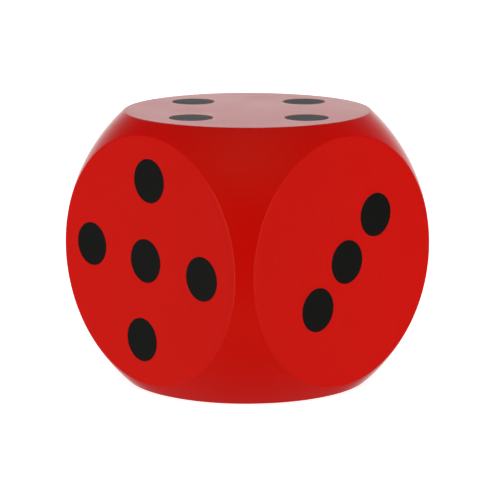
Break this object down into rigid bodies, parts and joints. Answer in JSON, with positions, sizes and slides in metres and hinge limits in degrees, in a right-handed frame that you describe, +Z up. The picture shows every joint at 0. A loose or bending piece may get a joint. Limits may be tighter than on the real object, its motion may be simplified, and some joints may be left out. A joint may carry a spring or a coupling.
{
  "type": "giant foam yard die",
  "caption": "Soft giant yard die: a foam cube cut by a ball, sealed in a thin coating with flush round pips, thrown or rolled and read from its top face.",
  "frame": {"origin": "centre of the bottom face, the one with a single pip", "axes": "+Z up through the face with four pips, -Y out of the face with five, +X out of the face with three"},
  "size_m": [0.16, 0.16, 0.16],
  "materials": {
    "foam": "matte",
    "red_coating": "satin",
    "black_pips": "satin"
  },
  "bodies": {
    "root": {"foam_core": "foam", "coating": "red_coating", "pip_1_1": "black_pips", "pip_2_1": "black_pips", "pip_2_2": "black_pips", "pip_3_1": "black_pips", "pip_3_2": "black_pips", "pip_3_3": "black_pips", "pip_4_1": "black_pips", "pip_4_2": "black_pips", "pip_4_3": "black_pips", "pip_4_4": "black_pips", "pip_5_1": "black_pips", "pip_5_2": "black_pips", "pip_5_3": "black_pips", "pip_5_4": "black_pips", "pip_5_5": "black_pips", "pip_6_1": "black_pips", "pip_6_2": "black_pips", "pip_6_3": "black_pips", "pip_6_4": "black_pips", "pip_6_5": "black_pips", "pip_6_6": "black_pips"}
  },
  "joints": []
}
